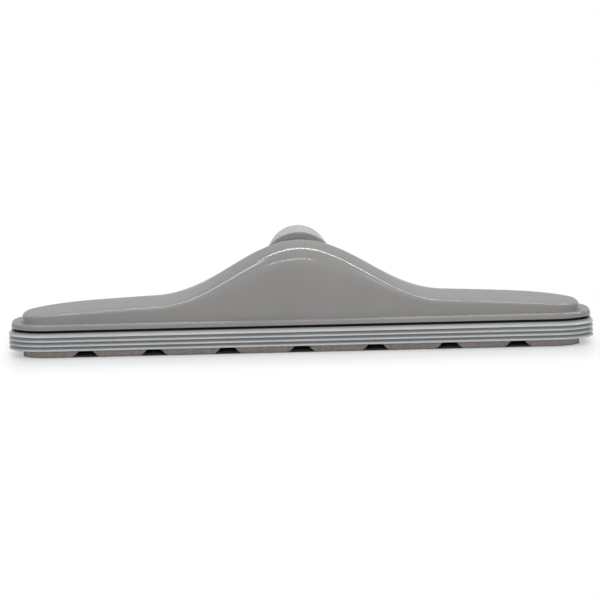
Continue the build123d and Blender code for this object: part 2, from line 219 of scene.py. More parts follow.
class Draft:
    """Points and faces of a mesh as it is drawn, in millimetres from the head's middle."""

    def __init__(self):
        self.points = []
        self.faces = []

    def row(self, points):
        start = len(self.points)
        self.points.extend(points)
        return list(range(start, len(self.points)))

    def bridge(self, row, other, closed=False):
        count = len(row)
        for i in range(count if closed else count - 1):
            j = (i + 1) % count
            self.faces.append((row[i], row[j], other[j], other[i]))

    def cap(self, row):
        self.faces.append(tuple(row))

    def loft(self, loops):
        """Closed solid through loops with the same number of points."""
        rows = [self.row(loop) for loop in loops]
        for row, other in zip(rows, rows[1:]):
            self.bridge(row, other, closed=True)
        self.cap(rows[0])
        self.cap(rows[-1])

    def prism(self, outline, low_x, high_x):
        """Closed solid with an outline of Y and Z between two places along X."""
        self.loft([[(x, y, z) for y, z in outline] for x in (low_x, high_x)])

    def build(self, name):
        """New object in the frame, with its faces turned outward."""
        mesh = bpy.data.meshes.new(name)
        places = [(x * MM, head_mid.y + y * MM, z * MM) for x, y, z in self.points]
        mesh.from_pydata(places, [], self.faces)
        turned = bmesh.new()
        turned.from_mesh(mesh)
        bmesh.ops.recalc_face_normals(turned, faces=turned.faces)
        turned.to_mesh(mesh)
        turned.free()
        piece = bpy.data.objects.new(name, mesh)
        bpy.context.collection.objects.link(piece)
        return piece


def combine(piece, tool, operation):
    """Boolean of a piece with a tool, which is used up."""
    modifier = piece.modifiers.new("combine", "BOOLEAN")
    modifier.operation = operation
    modifier.solver = "EXACT"
    modifier.object = tool
    graph = bpy.context.evaluated_depsgraph_get()
    mesh = bpy.data.meshes.new_from_object(piece.evaluated_get(graph))
    piece.modifiers.clear()
    piece.data = mesh
    bpy.data.objects.remove(tool)


def settle(piece, body, node, sharp_angle=35.0):
    """Smooth shading with crisp edges, and the body and node that the piece belongs to."""
    piece.data.shade_smooth()
    piece.data.set_sharp_from_angle(angle=math.radians(sharp_angle))
    slot = SLOT_OF[node]
    piece.data.materials.clear()
    piece.data.materials.append(MATERIALS[slot])
    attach(piece, body)
    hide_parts(node)


def circle(mid, radius, steps=CIRCLE_STEPS):
    """Points round a circle."""
    turns = [2 * math.pi * step / steps for step in range(steps)]
    return [(mid[0] + radius * math.cos(turn), mid[1] + radius * math.sin(turn)) for turn in turns]


def quadratic(start, control, end, steps):
    """Points of a quadratic curve, without its start."""
    points = []
    for step in range(1, steps + 1):
        t = step / steps
        shares = ((1 - t) ** 2, 2 * t * (1 - t), t**2)
        points.append(tuple(
            shares[0] * a + shares[1] * b + shares[2] * c for a, b, c in zip(start, control, end)
        ))
    return points


def math_node(tree, operation, *values):
    """Value of a math node: sockets are linked and numbers are set."""
    node = tree.nodes.new("ShaderNodeMath")
    node.operation = operation
    for socket, value in zip(node.inputs, values):
        if isinstance(value, (int, float)):
            socket.default_value = value
        else:
            tree.links.new(value, socket)
    return node.outputs["Value"]


def node_material(name, base, roughness):
    """New node material, its tree and its Principled shader."""
    material = bpy.data.materials.new(name)
    material.use_nodes = True
    tree = material.node_tree
    shader = tree.nodes["Principled BSDF"]
    shader.inputs["Base Color"].default_value = (*base, 1.0)
    shader.inputs["Roughness"].default_value = roughness
    return material, tree, shader


def noise(tree, scale, detail=4.0, stretch=(1.0, 1.0, 1.0)):
    """Noise in the object's own coordinates, stretched along its axes."""
    coords = tree.nodes.new("ShaderNodeTexCoord")
    mapping = tree.nodes.new("ShaderNodeMapping")
    mapping.inputs["Scale"].default_value = stretch
    texture = tree.nodes.new("ShaderNodeTexNoise")
    texture.inputs["Scale"].default_value = scale
    texture.inputs["Detail"].default_value = detail
    tree.links.new(coords.outputs["Object"], mapping.inputs["Vector"])
    tree.links.new(mapping.outputs["Vector"], texture.inputs["Vector"])
    return texture.outputs["Fac"]


def ramp(tree, factor, stops):
    """Colour ramp over a factor: pairs of position and colour."""
    node = tree.nodes.new("ShaderNodeValToRGB")
    elements = node.color_ramp.elements
    while len(elements) < len(stops):
        elements.new(0.5)
    for element, (position, colour) in zip(elements, stops):
        element.position = position
        element.color = (*colour, 1.0)
    tree.links.new(factor, node.inputs["Fac"])
    return node.outputs["Color"]


def spread(tree, factor, low, high):
    """A noise value spread over a range."""
    node = tree.nodes.new("ShaderNodeMapRange")
    node.inputs["From Min"].default_value = NOISE_LOW
    node.inputs["From Max"].default_value = NOISE_HIGH
    node.inputs["To Min"].default_value = low
    node.inputs["To Max"].default_value = high
    tree.links.new(factor, node.inputs["Value"])
    return node.outputs["Result"]


def bump(tree, shader, height, distance):
    """Surface relief from a height, as a distance in metres."""
    node = tree.nodes.new("ShaderNodeBump")
    node.inputs["Distance"].default_value = distance
    node.inputs["Strength"].default_value = 1.0
    tree.links.new(height, node.inputs["Height"])
    tree.links.new(node.outputs["Normal"], shader.inputs["Normal"])


def shade(colour, share):
    """A colour made lighter or darker by a share."""
    return tuple(min(1.0, channel * share) for channel in colour)


def clouded(colour, low, high):
    """Stops of a ramp from a darker to a lighter shade of a colour."""
    return ((NOISE_LOW, shade(colour, low)), (NOISE_HIGH, shade(colour, high)))


def moulded_plastic(name, colour, roughness, variation=0.05, grain=1800.0, relief=0.00001):
    """Moulded plastic: faint flow clouds in the colour, uneven gloss and a fine skin."""
    material, tree, shader = node_material(name, colour, roughness)
    clouds = noise(tree, scale=22.0, detail=5.0)
    stops = clouded(colour, 1 - variation, 1 + variation)
    tree.links.new(ramp(tree, clouds, stops), shader.inputs["Base Color"])
    patches = noise(tree, scale=60.0, detail=6.0)
    gloss = spread(tree, patches, low=roughness * ROUGH_LOW, high=roughness * ROUGH_HIGH)
    tree.links.new(gloss, shader.inputs["Roughness"])
    bump(tree, shader, noise(tree, grain, detail=2.0), relief)
    return material


def ribbed_vinyl(name, colour, roughness):
    """Ribbed vinyl with painted shade: each rib is darker from its lip up into the groove above it."""
    material = moulded_plastic(name, colour, roughness, grain=1400.0)
    tree = material.node_tree
    shader = tree.nodes["Principled BSDF"]
    coords = tree.nodes.new("ShaderNodeTexCoord")
    parts = tree.nodes.new("ShaderNodeSeparateXYZ")
    tree.links.new(coords.outputs["Object"], parts.inputs["Vector"])
    rise = math_node(tree, "SUBTRACT", parts.outputs["Z"], bumper_low.z)
    pitch = (bumper_high.z - bumper_low.z) / RIB_COUNT
    rib = math_node(tree, "FRACT", math_node(tree, "DIVIDE", rise, pitch))
    # Painted shade: each rib darkens from its lip up to the groove under the lip above
    tone = ramp(tree, rib, RIB_PAINTED_SHADE)
    painted_rib_shade = tree.nodes.new("ShaderNodeMix")
    painted_rib_shade.data_type = "RGBA"
    painted_rib_shade.blend_type = "MULTIPLY"
    painted_rib_shade.inputs["Factor"].default_value = 1.0
    tree.links.new(shader.inputs["Base Color"].links[0].from_socket, painted_rib_shade.inputs[MIX_A])
    tree.links.new(tone, painted_rib_shade.inputs[MIX_B])
    tree.links.new(painted_rib_shade.outputs[MIX_RESULT], shader.inputs["Base Color"])
    return material


def cuff_material(name, colour, roughness):
    """Moulded cuff: fine grip rings round its side, and painted shade on its near face in a lighter shell
    grey.
    """
    material = moulded_plastic(name, colour, roughness)
    tree = material.node_tree
    shader = tree.nodes["Principled BSDF"]
    coords = tree.nodes.new("ShaderNodeTexCoord")
    along = tree.nodes.new("ShaderNodeVectorMath")
    along.operation = "DOT_PRODUCT"
    along.inputs[1].default_value = tube_axis
    tree.links.new(coords.outputs["Object"], along.inputs[0])
    run = math_node(tree, "SUBTRACT", along.outputs["Value"], CUFF_START)
    side = tree.nodes.new("ShaderNodeMapRange")
    side.inputs["From Min"].default_value = CUFF_FACE * CUFF_FACE_FULL
    side.inputs["From Max"].default_value = CUFF_FACE
    tree.links.new(run, side.inputs["Value"])
    # Painted shade: the near face is painted a grey darker than the cuff
    painted_face_shade = tree.nodes.new("ShaderNodeMix")
    painted_face_shade.data_type = "RGBA"
    painted_face_shade.inputs[MIX_A].default_value = (*shade(SHELL_COLOUR, CUFF_FACE_SHADE), 1.0)
    tree.links.new(shader.inputs["Base Color"].links[0].from_socket, painted_face_shade.inputs[MIX_B])
    tree.links.new(side.outputs["Result"], painted_face_shade.inputs["Factor"])
    tree.links.new(painted_face_shade.outputs[MIX_RESULT], shader.inputs["Base Color"])
    rings = math_node(tree, "SINE", math_node(tree, "MULTIPLY", run, 2 * math.pi / GRIP_PITCH))
    bump(tree, shader, math_node(tree, "MULTIPLY", rings, side.outputs["Result"]), GRIP_RISE)
    return material


def bristle_material(name, colour):
    """Nylon bristles: each fibre a little lighter or darker, with a soft sheen."""
    material, tree, shader = node_material(name, colour, roughness=0.6)
    streaks = noise(tree, scale=700.0, detail=2.0, stretch=(1.0, 1.0, 0.03))
    stops = clouded(colour, low=0.92, high=1.08)
    tree.links.new(ramp(tree, streaks, stops), shader.inputs["Base Color"])
    bump(tree, shader, streaks, distance=0.00002)
    return material


def steel_material(name, colour):
    """Plated steel with a fine drawn grain."""
    material, tree, shader = node_material(name, colour, roughness=0.35)
    shader.inputs["Metallic"].default_value = 1.0
    grain = noise(tree, scale=700.0, detail=3.0, stretch=(1.0, 1.0, 0.1))
    tree.links.new(spread(tree, grain, low=0.25, high=0.45), shader.inputs["Roughness"])
    bump(tree, shader, grain, distance=0.00003)
    return material


def felt_material(name, colour):
    """Felt: rough matted fibres with a soft sheen."""
    material, tree, shader = node_material(name, colour, roughness=0.95)
    shader.inputs["Sheen Weight"].default_value = 0.3
    fibres = noise(tree, scale=1400.0, detail=6.0)
    stops = clouded(colour, low=0.6, high=1.5)
    tree.links.new(ramp(tree, fibres, stops), shader.inputs["Base Color"])
    bump(tree, shader, fibres, distance=0.0003)
    return material


# Colours, and the painted shade on a rib from its lip to the groove above it
SHELL_COLOUR = (0.245, 0.239, 0.232)
CUFF_COLOUR = (0.41, 0.41, 0.4)
BASE_COLOUR = (0.018, 0.016, 0.016)
VINYL_COLOUR = (0.53, 0.547, 0.557)
BUSH_COLOUR = (0.68, 0.67, 0.63)
RUBBER_COLOUR = (0.025, 0.025, 0.025)
BRISTLE_COLOUR = (0.53, 0.48, 0.447)
FELT_COLOUR = (0.06, 0.058, 0.056)
STEEL_COLOUR = (0.55, 0.55, 0.54)
RIB_PAINTED_SHADE = (
    (0.0, (1.0, 1.0, 1.0)),
    (0.25, (0.95, 0.95, 0.95)),
    (0.6, (0.6, 0.6, 0.6)),
    (0.95, (0.3, 0.3, 0.3)),
)

# Materials by the record's slots
MATERIALS = {
    "shell_grey": moulded_plastic(
        "shell_grey", SHELL_COLOUR, roughness=0.13, variation=0.04, relief=0.000003
    ),
    "neck_grey": moulded_plastic("neck_grey", SHELL_COLOUR, roughness=0.3),
    "cuff_light": cuff_material("cuff_light", CUFF_COLOUR, roughness=0.38),
    "base_dark": moulded_plastic(
        "base_dark", BASE_COLOUR, roughness=0.55, variation=0.2, grain=900.0, relief=0.00004
    ),
    "bumper_vinyl": ribbed_vinyl("bumper_vinyl", VINYL_COLOUR, roughness=0.3),
    "bush_white": moulded_plastic("bush_white", BUSH_COLOUR, roughness=0.4),
    "seal_rubber": moulded_plastic(
        "seal_rubber", RUBBER_COLOUR, roughness=0.7, variation=0.2, grain=1200.0, relief=0.00005
    ),
    "bristle": bristle_material("bristle", BRISTLE_COLOUR),
    "felt": felt_material("felt", FELT_COLOUR),
    "screw_steel": steel_material("screw_steel", STEEL_COLOUR),
}

SLOT_OF = {part["node"]: part["material_slot"] for part in frame["record"]["subparts"]}
for node, piece in frame["nodes"].items():
    piece.data.materials.clear()
    piece.data.materials.append(MATERIALS[SLOT_OF[node]])


def bell(x):
    """Share of the hump's rise at a place along the head."""
    if abs(x) >= HUMP_HALF_WIDTH:
        return 0.0
    return math.cos(math.pi * x / (2 * HUMP_HALF_WIDTH)) ** 2


def blend(start, end, share):
    """Value between two others."""
    return start + (end - start) * share


def arc_reach(run, radius):
    """Reach of a rounded corner at a run past the corner's middle."""
    return math.sqrt(max(0.0, radius**2 - max(0.0, run) ** 2))


def dome_section(x, inset, foot_z):
    """Upright section of the dome from its front foot to its rear foot."""
    front_y = FRONT_MID[1] - arc_reach(abs(x) - FRONT_MID[0], DOME_FRONT_R - inset)
    rear_y = REAR_MID[1] + arc_reach(abs(x) - REAR_MID[0], DOME_REAR_R - inset)
    cap_r = END_ROUND - inset
    cap = arc_reach(abs(x) - HALF_LENGTH + END_ROUND, cap_r) / cap_r
    crest = WING_ROOT_Z - WING_DROOP * x**2 + HUMP_RISE * bell(x)
    top = END_WALL_Z + (crest - END_WALL_Z) * cap - inset
    corner_z = top - blend(WING_CROWN, HUMP_CROWN, bell(x)) * (top - foot_z)
    wall_z = corner_z - blend(WING_WALL_ROUND, HUMP_WALL_ROUND, bell(x)) * (corner_z - foot_z)
    reach = blend(WING_ROUND, HUMP_ROUND, bell(x))
    peak = ((front_y + rear_y) / 2, (2 * top - corner_z * (1 - reach)) / (1 + reach))
    sides = []
    for edge_y, inward in ((front_y, WALL_LEAN), (rear_y, -WALL_LEAN)):
        foot = (edge_y + (foot_z - LEDGE_Z) * inward, foot_z)
        wall = (edge_y + (wall_z - LEDGE_Z) * inward, wall_z)
        corner = (edge_y + (corner_z - LEDGE_Z) * inward, corner_z)
        crown = tuple(a + reach * (b - a) for a, b in zip(corner, peak))
        middle = tuple((a + b) / 2 for a, b in zip(foot, wall))
        side = [foot] + quadratic(foot, middle, wall, WALL_STEPS)
        sides.append(side + quadratic(wall, corner, crown, ROUND_STEPS))
    front, rear = sides
    return front + quadratic(front[-1], peak, rear[-1], CROWN_STEPS) + rear[-2::-1]


def stations(inset):
    """Places of the sections along the head, closer together round its ends."""
    corner_r = DOME_REAR_R - inset
    turns = [math.pi / 2 * step / TURN_STEPS for step in range(TURN_STEPS + 1)]
    end = [REAR_MID[0] + corner_r * math.sin(turn) for turn in turns]
    middle = [REAR_MID[0] * step / LONG_STEPS for step in range(1 - LONG_STEPS, LONG_STEPS)]
    return [-x for x in reversed(end)] + middle + end


def flange_outline(offset, z):
    """Outline of the dome's foot moved outward, in the order of the stations."""
    front = []
    rear = []
    corners = ((front, FRONT_MID, DOME_FRONT_R, -1), (rear, REAR_MID, DOME_REAR_R, 1))
    for x in stations(0.0):
        for row, (mid_x, mid_y), radius, side in corners:
            turn = math.asin(min(1.0, max(0.0, (abs(x) - mid_x) / radius)))
            moved_x = x + math.copysign(offset * math.sin(turn), x)
            row.append((moved_x, mid_y + side * (radius + offset) * math.cos(turn), z))
    return front + rear[::-1]


def flange_profile():
    """Offsets and heights of the flange from the dome's foot to its underside."""
    profile = []
    for step in range(EDGE_STEPS + 1):
        turn = math.pi / 2 * step / EDGE_STEPS
        run = FLANGE_EDGE_R * (1 - math.sin(turn))
        drop = FLANGE_EDGE_R * (1 - math.cos(turn))
        profile.append((LEDGE_WIDTH - run, LEDGE_Z - drop))
    profile.append((LEDGE_WIDTH, FLANGE_Z + FLANGE_LOWER_R))
    profile.append((LEDGE_WIDTH - FLANGE_LOWER_R, FLANGE_Z))
    return profile


def dome_skin(draft, inset, foot_z):
    """One skin of the dome, and the loop of its foot."""
    columns = []
    for x in stations(inset):
        columns.append(draft.row([(x, y, z) for y, z in dome_section(x, inset, foot_z)]))
    for column, other in zip(columns, columns[1:]):
        draft.bridge(column, other)
    draft.cap(columns[0])
    draft.cap(columns[-1])
    return [column[0] for column in columns] + [column[-1] for column in reversed(columns)]


def height_in_wall(x, y):
    """Height of the middle of the shell's wall over a place."""
    section = dome_section(x, SHELL_WALL / 2, FLANGE_Z)
    for (y_a, z_a), (y_b, z_b) in zip(section, section[1:]):
        if y_a <= y <= y_b:
            return z_a + (z_b - z_a) * (y - y_a) / max(y_b - y_a, LEAST_RUN)
    return FLANGE_Z


def well_block():
    """Block for the well, up to the middle of the shell's wall."""
    half_width = WELL_HALF_WIDTH + CHEEK
    front_y = PIVOT_Y - WELL_R - WELL_FRONT_WALL
    loops = []
    for step in range(WELL_STEPS + 1):
        x = half_width * (2 * step / WELL_STEPS - 1)
        rear_y = dome_section(x, SHELL_WALL / 2, FLANGE_Z)[-1][0]
        ys = [front_y + (rear_y - front_y) * share / WELL_STEPS for share in range(WELL_STEPS)]
        top = [(x, y, height_in_wall(x, y)) for y in ys]
        loops.append(top + [(x, rear_y, FLANGE_Z), (x, front_y, FLANGE_Z)])
    draft = Draft()
    draft.loft(loops)
    block = draft.build("well_block")
    room = Draft()
    low_y = front_y - OVERCUT
    far = 2 * HALF_DEPTH
    outline = [(low_y, 0), (far, 0), (far, far + PIVOT_Z), (PIVOT_Y, far + PIVOT_Z)]
    outline += [(PIVOT_Y, WELL_ROOF_Z), (low_y, WELL_ROOF_Z)]
    room.prism(outline, -WELL_HALF_WIDTH, WELL_HALF_WIDTH)
    combine(block, room.build("well_room"), "DIFFERENCE")
    return block


def sweep_outline():
    """Side outline of the space that the tube sweeps as it tilts."""
    far = 2 * HALF_DEPTH
    rest_along = Vector((math.cos(REST_ANGLE), math.sin(REST_ANGLE)))
    rest_up = Vector((-rest_along.y, rest_along.x))
    raised = REST_ANGLE + TILT_RANGE
    raised_along = Vector((math.cos(raised), math.sin(raised)))
    raised_up = Vector((-raised_along.y, raised_along.x))
    pivot = Vector((PIVOT_Y, PIVOT_Z))
    sill = pivot - rest_up * SWEEP_BELOW
    sill_start = sill + rest_along * (LEDGE_Z - sill.y) / rest_along.y
    sill_end = sill + rest_along * far
    foot = pivot - rest_up * (PIVOT_Z - LEDGE_Z) / rest_up.y
    lip = pivot + raised_up * SWEEP_FRONT
    lip_end = lip + raised_along * far
    over = Vector((sill_end.x, lip_end.y))
    return [foot, pivot, lip, lip_end, over, sill_end, sill_start]


def lip_edge_cut():
    """Sliver that rounds the front edge of the hood's opening."""
    raised = REST_ANGLE + TILT_RANGE
    down = -Vector((math.cos(raised), math.sin(raised)))
    way = Vector((-math.sin(raised), math.cos(raised)))
    pivot = Vector((PIVOT_Y, PIVOT_Z))
    loops = []
    for step in range(HOOD_STEPS + 1):
        x = WELL_HALF_WIDTH * (2 * step / HOOD_STEPS - 1)
        section = [Vector(point) for point in dome_section(x, 0.0, LEDGE_Z)]
        over = [(point - pivot).dot(way) - SWEEP_FRONT for point in section]
        last = max(i for i, height in enumerate(over) if height > 0)
        share = over[last] / (over[last] - over[last + 1])
        corner = section[last].lerp(section[last + 1], share)
        along = (section[last] - section[last + 1]).normalized()
        half = along.angle(down) / 2
        inward = (along + down).normalized()
        middle = corner + inward * LIP_EDGE_R / math.sin(half)
        start = corner + along * LIP_EDGE_R / math.tan(half) - middle
        end = corner + down * LIP_EDGE_R / math.tan(half) - middle
        arc = [middle + start.slerp(end, turn / EDGE_STEPS) for turn in range(EDGE_STEPS + 1)]
        loops.append([(x, point.x, point.y) for point in [corner - inward] + arc])
    draft = Draft()
    draft.loft(loops)
    return draft.build("lip_edge")


def screw_places():
    """Places of the screws that hold the base to the shell."""
    return [(side * x, y) for y, row in SCREW_X.items() for x in row for side in (-1, 1)]


def make_shell():
    """Moulded shell as one fine mesh: flange, dome, well and screw bosses."""
    draft = Draft()
    loop = dome_skin(draft, 0.0, LEDGE_Z)
    for offset, z in flange_profile():
        ring = draft.row(flange_outline(offset, z))
        draft.bridge(loop, ring, closed=True)
        loop = ring
    draft.bridge(loop, dome_skin(draft, SHELL_WALL, FLANGE_Z), closed=True)
    shell = draft.build("shell")

    combine(shell, well_block(), "UNION")
    bosses = Draft()
    holes = Draft()
    for place in screw_places():
        ring = circle(place, BOSS_R, SCREW_STEPS)
        foot = [(x, y, FLANGE_Z) for x, y in ring]
        bosses.loft([foot, [(x, y, height_in_wall(x, y)) for x, y in ring]])
        ring = circle(place, BOSS_HOLE_R, SCREW_STEPS)
        foot = [(x, y, FLANGE_Z - OVERCUT) for x, y in ring]
        holes.loft([foot, [(x, y, BOSS_HOLE_TOP_Z) for x, y in ring]])
    combine(shell, bosses.build("bosses"), "UNION")
    combine(shell, holes.build("boss_holes"), "DIFFERENCE")

    barrel_room = Draft()
    ring = circle((PIVOT_Y, PIVOT_Z), WELL_R, BARREL_STEPS)
    barrel_room.prism(ring, -WELL_HALF_WIDTH, WELL_HALF_WIDTH)
    combine(shell, barrel_room.build("barrel_room"), "DIFFERENCE")
    sweep = Draft()
    sweep.prism([tuple(point) for point in sweep_outline()], -WELL_HALF_WIDTH, WELL_HALF_WIDTH)
    combine(shell, sweep.build("sweep"), "DIFFERENCE")
    combine(shell, lip_edge_cut(), "DIFFERENCE")

    seats = Draft()
    arch = [point for point in circle((PIVOT_Y, PIVOT_Z), BUSH_SEAT_R) if point[1] >= PIVOT_Z]
    arch += [(PIVOT_Y - BUSH_SEAT_R, 0), (PIVOT_Y + BUSH_SEAT_R, 0)]
    for side in (-1, 1):
        inner = side * (WELL_HALF_WIDTH - OVERCUT)
        outer = side * (WELL_HALF_WIDTH + CHEEK + OVERCUT)
        seats.prism(arch, inner, outer)
    combine(shell, seats.build("bush_seats"), "DIFFERENCE")
    settle(shell, "head", "top_shell")


def outline_at(front_mid, front_r, rear_mid, rear_r, steps):
    """Rounded outline from the middles of its corners, with the way outward at each point."""
    points = []
    rear = (rear_mid, rear_r)
    front = (front_mid, front_r)
    corners = ((1, *rear), (-1, *rear), (-1, *front), (1, *front))
    for quarter, (side, mid, radius) in enumerate(corners):
        for step in range(steps + 1):
            turn = math.pi / 2 * (quarter + step / steps)
            way = (math.cos(turn), math.sin(turn))
            points.append((side * mid[0] + radius * way[0], mid[1] + radius * way[1], way))
    return points


def bumper_profile():
    """Section of the strip: coved ribs outside, and the tongue that grips the base inside."""
    low_z = bumper_low.z / MM
    high_z = bumper_high.z / MM - GAP_ROOM
    pitch = (high_z - low_z) / RIB_COUNT
    root = BUMPER_THICKNESS - RIB_DEPTH
    profile = [(0.0, low_z)]
    for rib in range(RIB_COUNT):
        foot_z = low_z + rib * pitch
        profile.append((root, foot_z))
        for step in range(LIP_STEPS + 1):
            turn = math.pi / 2 * (step / LIP_STEPS - 1)
            out = BUMPER_THICKNESS - LIP_R * (1 - math.cos(turn))
            profile.append((out, foot_z + LIP_R * (1 + math.sin(turn))))
        for step in range(1, RIB_STEPS):
            share = step / RIB_STEPS
            profile.append((root + RIB_DEPTH * (1 - share) ** 2, foot_z + LIP_R + (pitch - LIP_R) * share))
    tongue_low, tongue_high, tongue_depth = TONGUE
    profile += [(root, high_z), (0.0, high_z), (0.0, tongue_high)]
    profile += [(-tongue_depth, tongue_high), (-tongue_depth, tongue_low), (0.0, tongue_low)]
    return profile


def make_bumper():
    """Ribbed strip swept round the head."""
    offset = BUMPER_OVERHANG - BUMPER_THICKNESS
    front_r = FRONT_CORNER_R + offset
    rear_r = REAR_CORNER_R + offset
    outline = outline_at(FRONT_MID, front_r, REAR_MID, rear_r, BUMPER_TURN_STEPS)
    profile = bumper_profile()
    draft = Draft()
    loops = []
    for x, y, way in outline:
        loops.append(draft.row([(x + way[0] * out, y + way[1] * out, z) for out, z in profile]))
    for loop, other in zip(loops, loops[1:] + loops[:1]):
        draft.bridge(loop, other, closed=True)
    settle(draft.build("bumper_strip"), "head", "bumper", BUMPER_SHARP)


def notch_middles():
    """Middles of the notches along a long bristle row."""
    end = BRUSH_HALF_LENGTH - END_PAD_LENGTH
    steps = range(-NOTCHES_EACH_WAY, NOTCHES_EACH_WAY + 1)
    return [-end] + [NOTCH_PITCH * step for step in steps] + [end]


def notch_height(x):
    """Height at which a long row's bristles end."""
    away = min(abs(x - middle) for middle in notch_middles())
    share = min(1.0, max(0.0, 1 - (away - NOTCH_HALF_TOP) / NOTCH_FLANK))
    return NOTCH_TOP_Z * share**NOTCH_CURVE


def ring_path(inset, pitch):
    """Evenly spaced places round the brush ring."""
    front_mid = (BRUSH_HALF_LENGTH - BRUSH_FRONT_R, BRUSH_FRONT_R - BRUSH_HALF_DEPTH)
    rear_mid = (BRUSH_HALF_LENGTH - BRUSH_REAR_R, BRUSH_HALF_DEPTH - BRUSH_REAR_R)
    front_r = BRUSH_FRONT_R - inset
    rear_r = BRUSH_REAR_R - inset
    points = outline_at(front_mid, front_r, rear_mid, rear_r, RING_TURN_STEPS)
    outline = [Vector(point[:2]) for point in points]
    path = []
    for start, end in zip(outline, outline[1:] + outline[:1]):
        count = max(1, round((end - start).length / pitch))
        path += [start.lerp(end, step / count) for step in range(count)]
    return path


def row_of(x, y):
    """Bristle row that a place on the ring belongs to, or none in the gap between rows."""
    front_end = BRUSH_FRONT_R - BRUSH_HALF_DEPTH
    rear_end = BRUSH_HALF_DEPTH - REAR_ROW_DEPTH
    if y <= front_end - ROW_GAP / 2:
        return "front_bristles"
    if y >= rear_end + ROW_GAP / 2:
        return "rear_bristles"
    if front_end + ROW_GAP / 2 <= y <= rear_end - ROW_GAP / 2:
        return "left_end_bristles" if x < 0 else "right_end_bristles"
    return None


def make_bristles():
    """Rows of single fibres, trimmed at the notches."""
    draw = random.Random(FIBRE_SEED)
    drafts = {}
    gap = BRISTLE_THICKNESS - 2 * FIBRE_R
    for layer in range(FIBRE_LAYERS):
        inset = FIBRE_R + gap * layer / (FIBRE_LAYERS - 1)
        for place in ring_path(inset, FIBRE_PITCH):
            node = row_of(place.x, place.y)
            if node is None:
                continue
            long_row = node in ("front_bristles", "rear_bristles")
            low_z = notch_height(place.x) if long_row else 0.0
            low_z += draw.random() * FIBRE_SHORT
            lean = Vector((draw.uniform(-1, 1), draw.uniform(-1, 1))) * FIBRE_LEAN
            draft = drafts.setdefault(node, Draft())
            rows = []
            levels = ((1.0, BRISTLE_TOP_Z), (1.0, low_z + FIBRE_SHORT), (FIBRE_TIP, low_z))
            for share, z in levels:
                fall = (BRISTLE_TOP_Z - z) / BRISTLE_TOP_Z
                mid = place + lean * fall
                ring = circle(mid, FIBRE_R * share, FIBRE_SIDES)
                rows.append(draft.row([(x, y, z) for x, y in ring]))
            draft.bridge(rows[0], rows[1], closed=True)
            draft.bridge(rows[1], rows[2], closed=True)
            draft.cap(rows[0])
            draft.cap(rows[2])
    for node, draft in drafts.items():
        settle(draft.build(node.replace("bristles", "fibres")), "head", node, FIBRE_SHARP)


def make_screws(name, node, places, head, shank):
    """Pan-head screws with a cross recess, seen from below."""
    head_r, low_z, high_z = head
    shank_r, tip_z = shank
    edge = SCREW_EDGE * (high_z - low_z)
    bottom_z = low_z + RECESS_DEPTH * (high_z - low_z)
    arm, half_arm = RECESS_ARM * head_r, RECESS_HALF_ARM * head_r
    corner = [(arm, half_arm), (half_arm, half_arm), (half_arm, arm)]
    quarters = [Matrix.Rotation(math.pi / 2 * quarter, 2) for quarter in range(4)]
    cross = [quarter @ Vector(point) for quarter in quarters for point in corner]
    screws = Draft()
    recesses = Draft()
    rings = [(head_r - edge, low_z), (head_r, low_z + edge), (head_r, high_z)]
    rings += [(shank_r, high_z), (shank_r, tip_z)]
    levels = ((RECESS_MOUTH, low_z - RECESS_START), (RECESS_BOTTOM, bottom_z))
    for x, y in places:
        screws.loft([
            [(px, py, z) for px, py in circle((x, y), radius, SCREW_STEPS)] for radius, z in rings
        ])
        recesses.loft([
            [(x + share * point.x, y + share * point.y, z) for point in cross] for share, z in levels
        ])
    piece = screws.build(name)
    combine(piece, recesses.build("recesses"), "DIFFERENCE")
    settle(piece, "head", node)


make_shell()
make_bumper()
make_bristles()
make_screws("cover_screws", "base_screws", screw_places(), SCREW_HEAD, SCREW_SHANK)
brush_places = [(x, side * BRUSH_SCREW_Y) for x in BRUSH_SCREW_X for side in (-1, 1)]
make_screws("frame_screws", "brush_screws", brush_places, BRUSH_SCREW_HEAD, BRUSH_SCREW_SHANK)


def make_camera():
    """Camera at the photograph's angle, turned so that the bumper's front lies where it does there."""
    azimuth = math.radians(CAMERA_AZIMUTH)
    elevation = math.radians(CAMERA_ELEVATION)
    back = Vector((
        math.sin(azimuth) * math.cos(elevation),
        -math.cos(azimuth) * math.cos(elevation),
        math.sin(elevation),
    ))
    right = Vector((0, 0, 1)).cross(back).normalized()
    up = back.cross(right)
    turn = Matrix.Rotation(math.radians(-CAMERA_ROLL), 3, back)
    right = turn @ right
    up = turn @ up
    pixel = (bumper_high.x - bumper_low.x) / BUMPER_WIDTH_PX
    off_x = (BUMPER_MID_PX[0] - IMAGE_SIZE / 2) * pixel
    off_y = (IMAGE_SIZE / 2 - BUMPER_MID_PX[1]) * pixel
    aim = bumper_front - right * off_x - up * off_y
    data = bpy.data.cameras.new("camera")
    data.sensor_width = SENSOR_MM
    reach = CAMERA_DISTANCE + (bumper_high.y - bumper_low.y) / 2
    data.lens = SENSOR_MM * reach / (IMAGE_SIZE * pixel)
    camera = bpy.data.objects.new("camera", data)
    turned = Matrix((right, up, back)).transposed().to_4x4()
    camera.matrix_world = Matrix.Translation(aim + back * CAMERA_DISTANCE) @ turned
    bpy.context.collection.objects.link(camera)
    bpy.context.scene.camera = camera


def area_light(name, place, size, power, colour=(1.0, 1.0, 1.0), aim_x=0.0, mirrored=True):
    """Softbox that faces a place along the head, and that glossy surfaces mirror or not."""
    data = bpy.data.lights.new(name, "AREA")
    data.shape = "RECTANGLE"
    data.size, data.size_y = size
    data.energy = power
    data.color = colour
    light = bpy.data.objects.new(name, data)
    light.location = head_mid + Vector(place)
    light.visible_glossy = mirrored
    way = head_mid + Vector((aim_x, 0.0, 0.0)) - light.location
    light.rotation_euler = way.to_track_quat("-Z", "Y").to_euler()
    bpy.context.collection.objects.link(light)


